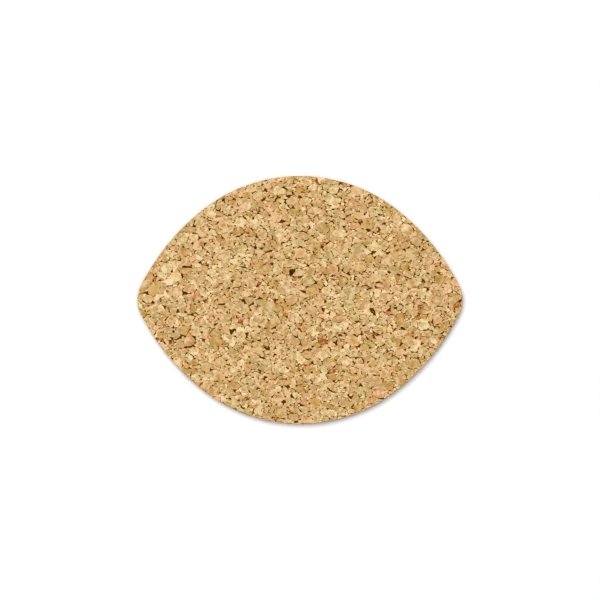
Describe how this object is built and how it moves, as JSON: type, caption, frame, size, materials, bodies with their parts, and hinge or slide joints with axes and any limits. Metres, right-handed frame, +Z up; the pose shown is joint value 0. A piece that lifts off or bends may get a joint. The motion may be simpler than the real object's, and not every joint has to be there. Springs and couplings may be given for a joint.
{
  "type": "cork drink coaster",
  "caption": "Flat lens-shaped drink coaster of composition cork with rounded tips; coarse granules of several tones bonded in a fine-grained sheet.",
  "frame": {"origin": "middle of the underside, on the surface that the coaster lies on", "axes": "+X along the length towards one tip, +Y across the width, +Z up through the thickness"},
  "size_m": [0.1334, 0.1016, 0.0032],
  "materials": {
    "bonded_cork": "matt fine cork granulate with binder",
    "tan_cork": "matt sliced cork",
    "honey_cork": "matt sliced cork",
    "pale_cork": "matt sliced cork",
    "peach_cork": "matt sliced cork",
    "olive_cork": "matt sliced cork",
    "russet_cork": "matt sliced cork",
    "bark": "matt bark"
  },
  "bodies": {
    "root": {"bonded_sheet": "bonded_cork", "tan_granules": "tan_cork", "honey_granules": "honey_cork", "pale_granules": "pale_cork", "peach_granules": "peach_cork", "olive_granules": "olive_cork", "russet_granules": "russet_cork", "bark_flecks": "bark"}
  },
  "joints": []
}
